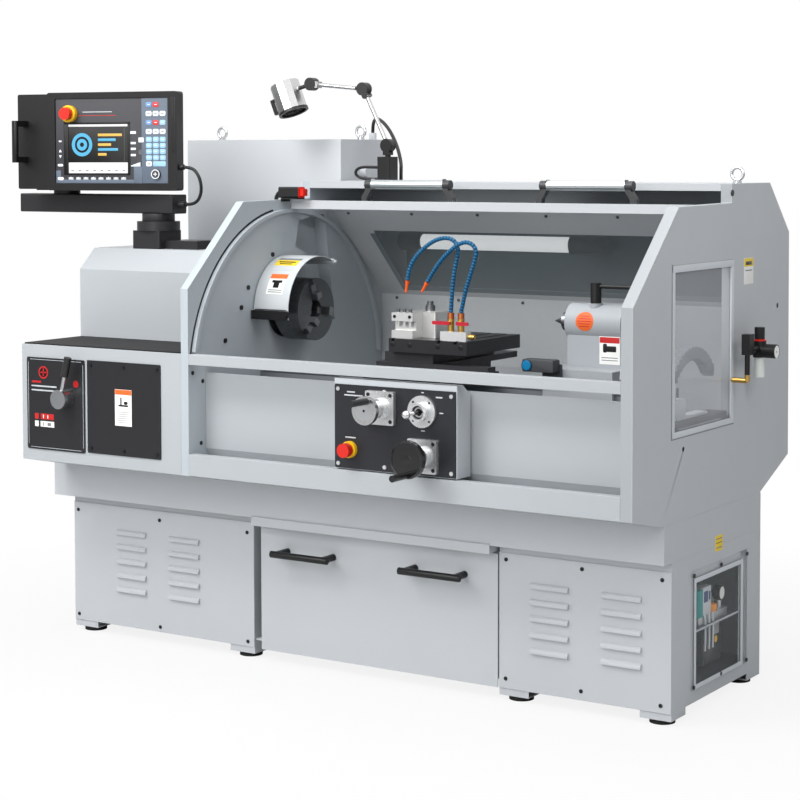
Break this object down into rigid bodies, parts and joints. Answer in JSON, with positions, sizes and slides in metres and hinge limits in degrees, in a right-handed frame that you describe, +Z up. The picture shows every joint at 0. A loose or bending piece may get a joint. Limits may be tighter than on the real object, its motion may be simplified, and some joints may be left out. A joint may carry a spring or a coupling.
{
  "type": "cnc turning lathe",
  "caption": "Enclosed toolroom turning lathe with a rolling clear door, chuck, tailstock, swing-out control pendant and pull-out coolant tank.",
  "frame": {"origin": "bottom centre of the whole machine, on the floor", "axes": "X along the bed from headstock to tailstock, Y from the operator to the back, Z up"},
  "size_m": [2.461, 1.253, 1.7183],
  "materials": {
    "grey_paint": "light grey machine enamel, semi-gloss",
    "dark_paint": "black satin enamel",
    "cast": "ground and painted casting",
    "steel": "bright machined steel",
    "chrome": "bright plated",
    "aluminium": "anodised",
    "clear": "clear sheet",
    "plate": "dark printed plate",
    "black_plastic": "matt black",
    "red_plastic": "gloss red",
    "blue_plastic": "gloss blue links",
    "brass": "turned brass",
    "rubber": "black rubber",
    "pendant_grey": "charcoal texture paint",
    "light_tube": "frosted tube"
  },
  "bodies": {
    "base": {"pedestals": "grey_paint", "levelling_feet": "rubber", "plinth": "grey_paint", "bed": "cast", "gearbox_housing": "grey_paint", "gearbox_plates": "plate", "headstock": "cast", "headstock_cover": "grey_paint", "drive_motor": "cast", "drive_belt": "rubber", "front_frame": "grey_paint", "left_wall": "grey_paint", "right_wall": "grey_paint", "clear_windows": "clear", "rear_cover": "grey_paint", "work_light": "light_tube", "electrical_cabinet": "grey_paint", "case_fasteners": "dark_paint", "interlock_switch": "black_plastic", "air_regulator": "aluminium", "lubricator": "aluminium", "lamp_base": "dark_paint", "lamp_cables": "rubber", "pendant_pivot": "dark_paint"},
    "door": {"door_pane": "clear", "door_rail": "aluminium"},
    "guard": {"chuck_guard": "grey_paint"},
    "spindle": {"spindle": "steel", "chuck_body": "steel"},
    "jaw_1": {"chuck_jaw_1": "steel"},
    "jaw_2": {"chuck_jaw_2": "steel"},
    "jaw_3": {"chuck_jaw_3": "steel"},
    "motor": {"motor_pulley": "steel"},
    "carriage": {"saddle": "cast", "control_box": "plate"},
    "wheel_z": {"handwheel_z": "chrome"},
    "wheel_x": {"handwheel_x": "black_plastic"},
    "gimbal": {"joystick_gimbal": "steel"},
    "stick": {"joystick": "black_plastic"},
    "control_stop": {"control_stop": "red_plastic"},
    "cross": {"cross_slide": "cast", "coolant_manifold": "brass", "coolant_hoses": "blue_plastic"},
    "post": {"tool_post": "steel"},
    "valve_1": {"valve_lever_1": "red_plastic"},
    "valve_2": {"valve_lever_2": "red_plastic"},
    "tail": {"tailstock": "grey_paint"},
    "quill": {"tail_quill": "steel"},
    "tail_wheel": {"tail_wheel": "chrome"},
    "lock": {"lock_lever": "dark_paint"},
    "gear": {"gear_lever": "chrome"},
    "arm": {"pendant_arm": "dark_paint", "pendant_cable": "rubber"},
    "pendant": {"pendant_case": "pendant_grey"},
    "pendant_stop": {"pendant_stop": "red_plastic"},
    "lamp_lower": {"lamp_lower_arm": "chrome"},
    "lamp_upper": {"lamp_upper_arm": "chrome"},
    "lamp_head": {"lamp_head": "aluminium"},
    "tank": {"coolant_tank": "grey_paint"},
    "tray": {"chip_tray": "grey_paint"}
  },
  "joints": [
    {"name": "door_roll", "type": "hinge", "parent": "base", "child": "door", "pos_m": [0.4355, 0.0225, 0.831], "axis": [1, 0, 0], "range_deg": [0, 79.5]},
    {"name": "guard_tilt", "type": "hinge", "parent": "base", "child": "guard", "pos_m": [-0.1945, 0.0745, 1.156], "axis": [-1, 0, 0], "range_deg": [0, 45]},
    {"name": "spindle_spin", "type": "hinge", "parent": "base", "child": "spindle", "pos_m": [-0.4645, -0.0055, 1.017], "axis": [1, 0, 0], "continuous": true},
    {"name": "jaw_1_slide", "type": "slide", "parent": "spindle", "child": "jaw_1", "axis": [0, -0.342, 0.9397], "range_m": [-0.006, 0.012]},
    {"name": "jaw_2_slide", "type": "slide", "parent": "spindle", "child": "jaw_2", "axis": [0, -0.6428, -0.766], "range_m": [-0.006, 0.012]},
    {"name": "jaw_3_slide", "type": "slide", "parent": "spindle", "child": "jaw_3", "axis": [0, 0.9848, -0.1736], "range_m": [-0.006, 0.012]},
    {"name": "motor_spin", "type": "hinge", "parent": "base", "child": "motor", "pos_m": [-0.7645, 0.2315, 0.69], "axis": [1, 0, 0], "continuous": true},
    {"name": "carriage_slide", "type": "slide", "parent": "base", "child": "carriage", "axis": [1, 0, 0], "range_m": [-0.28, 0.1]},
    {"name": "wheel_z_spin", "type": "hinge", "parent": "carriage", "child": "wheel_z", "pos_m": [0.3955, -0.5075, 0.805], "axis": [0, -1, 0], "continuous": true},
    {"name": "wheel_x_spin", "type": "hinge", "parent": "carriage", "child": "wheel_x", "pos_m": [0.5285, -0.5075, 0.686], "axis": [0, -1, 0], "continuous": true},
    {"name": "joystick_tilt", "type": "hinge", "parent": "carriage", "child": "gimbal", "pos_m": [0.5245, -0.4835, 0.803], "axis": [1, 0, 0], "range_deg": [-12, 12], "stiffness_Nm_per_rad": 2},
    {"name": "joystick_swing", "type": "hinge", "parent": "gimbal", "child": "stick", "pos_m": [0.5245, -0.4835, 0.803], "axis": [0, 0, 1], "range_deg": [-12, 12], "stiffness_Nm_per_rad": 2},
    {"name": "control_stop_press", "type": "slide", "parent": "carriage", "child": "control_stop", "axis": [0, 1, 0], "range_m": [0, 0.005], "stiffness_N_per_m": 1500},
    {"name": "cross_slide_travel", "type": "slide", "parent": "carriage", "child": "cross", "axis": [0, 1, 0], "range_m": [-0.05, 0.12]},
    {"name": "tool_post_swivel", "type": "hinge", "parent": "cross", "child": "post", "pos_m": [0.3005, -0.0685, 0.98], "axis": [0, 0, 1], "range_deg": [-90, 30]},
    {"name": "valve_1_turn", "type": "hinge", "parent": "cross", "child": "valve_1", "pos_m": [0.4185, -0.1505, 1.01], "axis": [0, 1, 0], "range_deg": [0, 90]},
    {"name": "valve_2_turn", "type": "hinge", "parent": "cross", "child": "valve_2", "pos_m": [0.4515, -0.1505, 1.01], "axis": [0, -1, 0], "range_deg": [0, 90]},
    {"name": "tailstock_slide", "type": "slide", "parent": "base", "child": "tail", "axis": [1, 0, 0], "range_m": [-0.1, 0.12]},
    {"name": "tail_wheel_spin", "type": "hinge", "parent": "tail", "child": "tail_wheel", "pos_m": [0.9245, -0.0055, 1.017], "axis": [1, 0, 0], "range_deg": [0, 7200]},
    {"name": "quill_feed", "type": "slide", "parent": "tail", "child": "quill", "axis": [-1, 0, 0], "range_m": [0, 0.1002]},
    {"name": "lock_turn", "type": "hinge", "parent": "tail", "child": "lock", "pos_m": [0.8025, -0.0205, 1.09], "axis": [0, 0, 1], "range_deg": [-60, 60]},
    {"name": "speed_lever_turn", "type": "hinge", "parent": "base", "child": "gear", "pos_m": [-0.7105, -0.4705, 0.761], "axis": [0, 1, 0], "range_deg": [-45, 30]},
    {"name": "pendant_arm_swing", "type": "hinge", "parent": "base", "child": "arm", "pos_m": [-0.6845, -0.0805, 1.3], "axis": [0, 0, 1], "range_deg": [-15, 80]},
    {"name": "pendant_swivel", "type": "hinge", "parent": "arm", "child": "pendant", "pos_m": [-1.0605, -0.0805, 1.36], "axis": [0, 0, 1], "range_deg": [-70, 0]},
    {"name": "pendant_stop_press", "type": "slide", "parent": "pendant", "child": "pendant_stop", "axis": [-0.2079, 0.9781, 0], "range_m": [0, 0.005], "stiffness_N_per_m": 1500},
    {"name": "lamp_base_tilt", "type": "hinge", "parent": "base", "child": "lamp_lower", "pos_m": [-0.0275, 0.2145, 1.506], "axis": [0, 1, 0], "range_deg": [-10, 25]},
    {"name": "lamp_elbow_tilt", "type": "hinge", "parent": "lamp_lower", "child": "lamp_upper", "pos_m": [-0.1145, 0.2145, 1.679], "axis": [0, 1, 0], "range_deg": [-20, 30]},
    {"name": "lamp_head_tilt", "type": "hinge", "parent": "lamp_upper", "child": "lamp_head", "pos_m": [-0.3095, 0.2145, 1.698], "axis": [0, 1, 0], "range_deg": [-40, 40]},
    {"name": "tank_pull", "type": "slide", "parent": "base", "child": "tank", "axis": [0, -1, 0], "range_m": [0, 0.6]},
    {"name": "tray_pull", "type": "slide", "parent": "base", "child": "tray", "axis": [0, -1, 0], "range_m": [0, 0.5]}
  ],
  "couplings": [
    {"joint": "motor_spin", "follows": "spindle_spin", "ratio": 1.5},
    {"joint": "jaw_2_slide", "follows": "jaw_1_slide", "ratio": 1},
    {"joint": "jaw_3_slide", "follows": "jaw_1_slide", "ratio": 1},
    {"joint": "quill_feed", "follows": "tail_wheel_spin", "m_per_rad": 0.00079577}
  ]
}
